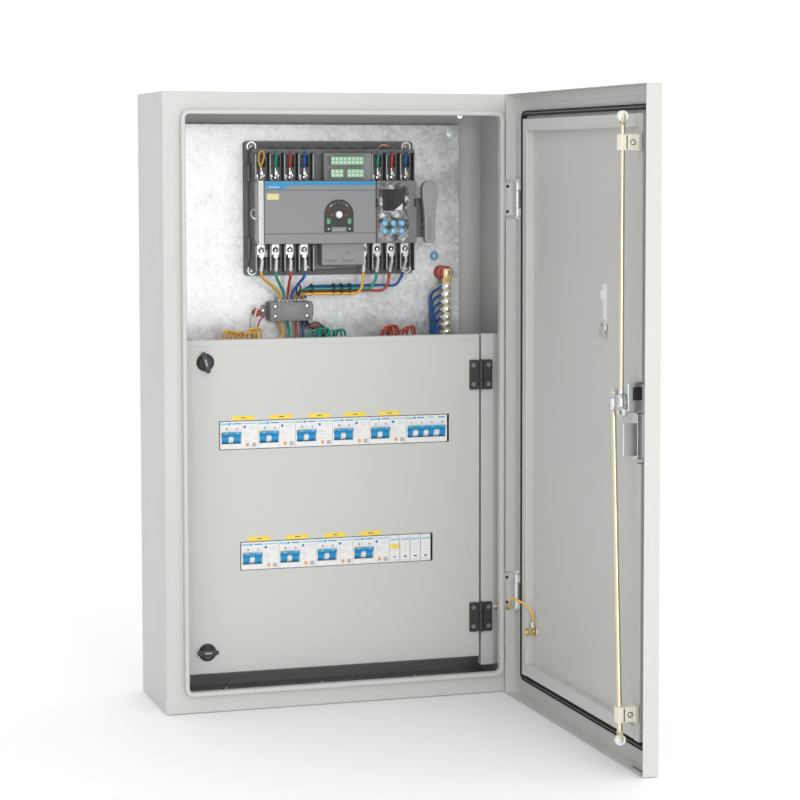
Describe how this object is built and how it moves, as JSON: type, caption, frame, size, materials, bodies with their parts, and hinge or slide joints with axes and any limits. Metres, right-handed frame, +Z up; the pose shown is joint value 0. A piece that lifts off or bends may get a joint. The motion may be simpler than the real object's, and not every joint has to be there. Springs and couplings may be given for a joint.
{
  "type": "automatic transfer switch",
  "caption": "Wall-mounted steel cabinet holding an automatic transfer switch above an inner door with windows for modular breakers, with a rod-latched outer door.",
  "frame": {"origin": "middle of the four wall-mounting holes, on the back face of the cabinet", "axes": "+Z up, -Y out of the cabinet front, +X to the right seen from the front"},
  "size_m": [0.618, 0.811, 1],
  "materials": {
    "painted_steel": "light grey powder coat with a fine texture",
    "galvanised": "spangled hot-dip zinc",
    "zinc_plated": "bright zinc plate",
    "passivated": "yellow passivated zinc",
    "tinned": "tinned contact metal",
    "brass": "bare brass",
    "black_plastic": "moulded, fine grain",
    "dark_grey_plastic": "moulded, fine grain",
    "mid_grey_plastic": "moulded, satin",
    "white_plastic": "moulded, satin gloss",
    "blue_plastic": "moulded, satin gloss",
    "pale_blue_keys": "domed film keys",
    "ivory_plastic": "nylon",
    "red_insulator": "moulded resin",
    "green_plastic": "plug connector plastic",
    "seal_rubber": "foamed seal",
    "wire_cover": "wire insulation",
    "clear_film": "thin clear bag"
  },
  "bodies": {
    "cabinet": {"cabinet_shell": "painted_steel", "gland_plate": "painted_steel", "mounting_plate": "galvanised", "plate_fasteners": "zinc_plated", "hinge_brackets": "zinc_plated", "hinge_pins": "zinc_plated", "inner_frame": "painted_steel", "din_rails": "passivated", "rcbo_housings": "white_plastic", "mcb_housing": "white_plastic", "surge_protector": "white_plastic", "neutral_bar": "brass", "bar_insulators": "red_insulator", "terminal_block": "mid_grey_plastic", "power_wires": "wire_cover", "control_wires": "wire_cover", "ats_base": "black_plastic", "ats_housing": "mid_grey_plastic", "ats_terminals": "tinned", "phase_barriers": "black_plastic", "signal_terminals": "green_plastic", "aux_block": "mid_grey_plastic", "indicator_plate": "black_plastic", "ats_controller": "dark_grey_plastic", "inner_hinge_posts": "black_plastic"},
    "outer_door": {"outer_door": "painted_steel", "door_gasket": "seal_rubber", "door_hinge_leaves": "zinc_plated", "rod_guides": "ivory_plastic", "lock_housing": "zinc_plated", "key_bag": "clear_film", "earth_studs": "brass"},
    "door_latch": {"lock_handle": "black_plastic", "lock_cam": "zinc_plated"},
    "upper_rod": {"upper_rod": "passivated"},
    "lower_rod": {"lower_rod": "passivated"},
    "upper_roller": {"upper_roller": "ivory_plastic"},
    "lower_roller": {"lower_roller": "ivory_plastic"},
    "inner_door": {"inner_door": "painted_steel", "inner_hinge_leaves": "black_plastic"},
    "upper_lock": {"upper_lock": "black_plastic"},
    "lower_lock": {"lower_lock": "black_plastic"},
    "ats_spindle": {"ats_spindle": "zinc_plated"},
    "ats_handle": {"ats_handle": "mid_grey_plastic"},
    "mcb_toggle": {"mcb_toggle": "blue_plastic"},
    "rcbo_toggle_1": {"rcbo_toggle_1": "blue_plastic"},
    "rcbo_toggle_2": {"rcbo_toggle_2": "blue_plastic"},
    "rcbo_toggle_3": {"rcbo_toggle_3": "blue_plastic"},
    "rcbo_toggle_4": {"rcbo_toggle_4": "blue_plastic"},
    "rcbo_toggle_5": {"rcbo_toggle_5": "blue_plastic"},
    "rcbo_toggle_6": {"rcbo_toggle_6": "blue_plastic"},
    "rcbo_toggle_7": {"rcbo_toggle_7": "blue_plastic"},
    "rcbo_toggle_8": {"rcbo_toggle_8": "blue_plastic"},
    "rcbo_toggle_9": {"rcbo_toggle_9": "blue_plastic"},
    "controller_button_1": {"controller_button_1": "pale_blue_keys"},
    "controller_button_2": {"controller_button_2": "pale_blue_keys"},
    "controller_button_3": {"controller_button_3": "pale_blue_keys"},
    "controller_button_4": {"controller_button_4": "pale_blue_keys"},
    "controller_button_5": {"controller_button_5": "pale_blue_keys"},
    "controller_button_6": {"controller_button_6": "pale_blue_keys"}
  },
  "joints": [
    {"name": "outer_door_swing", "type": "hinge", "parent": "cabinet", "child": "outer_door", "pos_m": [0.29, -0.221, 0], "axis": [0, 0, 1], "range_deg": [-90, 30]},
    {"name": "inner_door_swing", "type": "hinge", "parent": "cabinet", "child": "inner_door", "pos_m": [0.245, -0.1675, -0.172], "axis": [0, 0, 1], "range_deg": [0, 90]},
    {"name": "upper_lock_turn", "type": "hinge", "parent": "inner_door", "child": "upper_lock", "pos_m": [-0.2245, -0.163, 0.065], "axis": [0, -1, 0], "range_deg": [0, 90]},
    {"name": "lower_lock_turn", "type": "hinge", "parent": "inner_door", "child": "lower_lock", "pos_m": [-0.2245, -0.163, -0.409], "axis": [0, -1, 0], "range_deg": [0, 90]},
    {"name": "latch_turn", "type": "hinge", "parent": "outer_door", "child": "door_latch", "pos_m": [0.265, -0.745, 0.04], "axis": [-1, 0, 0], "range_deg": [0, 90]},
    {"name": "upper_rod_slide", "type": "slide", "parent": "outer_door", "child": "upper_rod", "axis": [0, 0, 1], "range_m": [0, 0.02548]},
    {"name": "lower_rod_slide", "type": "slide", "parent": "outer_door", "child": "lower_rod", "axis": [0, -0.0654, -0.9979], "range_m": [0, 0.02553]},
    {"name": "upper_roller_spin", "type": "hinge", "parent": "upper_rod", "child": "upper_roller", "pos_m": [0.257, -0.76036, 0.4535], "axis": [0, 1, 0], "continuous": true},
    {"name": "lower_roller_spin", "type": "hinge", "parent": "lower_rod", "child": "lower_roller", "pos_m": [0.257, -0.76282, -0.45342], "axis": [0, 0.9979, -0.0654], "continuous": true},
    {"name": "ats_spindle_turn", "type": "hinge", "parent": "cabinet", "child": "ats_spindle", "pos_m": [0.016, -0.105, 0.301], "axis": [0, 1, 0], "range_deg": [-50, 50]},
    {"name": "ats_handle_pull", "type": "slide", "parent": "cabinet", "child": "ats_handle", "axis": [0, -1, 0], "range_m": [0, 0.035]},
    {"name": "rcbo_toggle_1_flip", "type": "hinge", "parent": "cabinet", "child": "rcbo_toggle_1", "pos_m": [-0.1835, -0.156, -0.06], "axis": [1, 0, 0], "range_deg": [0, 64]},
    {"name": "rcbo_toggle_2_flip", "type": "hinge", "parent": "cabinet", "child": "rcbo_toggle_2", "pos_m": [-0.1205, -0.156, -0.06], "axis": [1, 0, 0], "range_deg": [0, 64]},
    {"name": "rcbo_toggle_3_flip", "type": "hinge", "parent": "cabinet", "child": "rcbo_toggle_3", "pos_m": [-0.0575, -0.156, -0.06], "axis": [1, 0, 0], "range_deg": [0, 64]},
    {"name": "rcbo_toggle_4_flip", "type": "hinge", "parent": "cabinet", "child": "rcbo_toggle_4", "pos_m": [0.0055, -0.156, -0.06], "axis": [1, 0, 0], "range_deg": [0, 64]},
    {"name": "rcbo_toggle_5_flip", "type": "hinge", "parent": "cabinet", "child": "rcbo_toggle_5", "pos_m": [0.0685, -0.156, -0.06], "axis": [1, 0, 0], "range_deg": [0, 64]},
    {"name": "rcbo_toggle_6_flip", "type": "hinge", "parent": "cabinet", "child": "rcbo_toggle_6", "pos_m": [-0.1495, -0.156, -0.259], "axis": [1, 0, 0], "range_deg": [0, 64]},
    {"name": "rcbo_toggle_7_flip", "type": "hinge", "parent": "cabinet", "child": "rcbo_toggle_7", "pos_m": [-0.0865, -0.156, -0.259], "axis": [1, 0, 0], "range_deg": [0, 64]},
    {"name": "rcbo_toggle_8_flip", "type": "hinge", "parent": "cabinet", "child": "rcbo_toggle_8", "pos_m": [-0.0235, -0.156, -0.259], "axis": [1, 0, 0], "range_deg": [0, 64]},
    {"name": "rcbo_toggle_9_flip", "type": "hinge", "parent": "cabinet", "child": "rcbo_toggle_9", "pos_m": [0.0395, -0.156, -0.259], "axis": [1, 0, 0], "range_deg": [0, 64]},
    {"name": "mcb_toggle_flip", "type": "hinge", "parent": "cabinet", "child": "mcb_toggle", "pos_m": [0.1495, -0.156, -0.06], "axis": [1, 0, 0], "range_deg": [0, 64]},
    {"name": "controller_button_1_press", "type": "slide", "parent": "cabinet", "child": "controller_button_1", "axis": [0, 1, 0], "range_m": [0, 0.0015], "stiffness_N_per_m": 300},
    {"name": "controller_button_2_press", "type": "slide", "parent": "cabinet", "child": "controller_button_2", "axis": [0, 1, 0], "range_m": [0, 0.0015], "stiffness_N_per_m": 300},
    {"name": "controller_button_3_press", "type": "slide", "parent": "cabinet", "child": "controller_button_3", "axis": [0, 1, 0], "range_m": [0, 0.0015], "stiffness_N_per_m": 300},
    {"name": "controller_button_4_press", "type": "slide", "parent": "cabinet", "child": "controller_button_4", "axis": [0, 1, 0], "range_m": [0, 0.0015], "stiffness_N_per_m": 300},
    {"name": "controller_button_5_press", "type": "slide", "parent": "cabinet", "child": "controller_button_5", "axis": [0, 1, 0], "range_m": [0, 0.0015], "stiffness_N_per_m": 300},
    {"name": "controller_button_6_press", "type": "slide", "parent": "cabinet", "child": "controller_button_6", "axis": [0, 1, 0], "range_m": [0, 0.0015], "stiffness_N_per_m": 300}
  ],
  "couplings": [
    {"joint": "upper_rod_slide", "follows": "latch_turn", "m_per_rad": 0.016206},
    {"joint": "lower_rod_slide", "follows": "latch_turn", "m_per_rad": 0.016241}
  ]
}
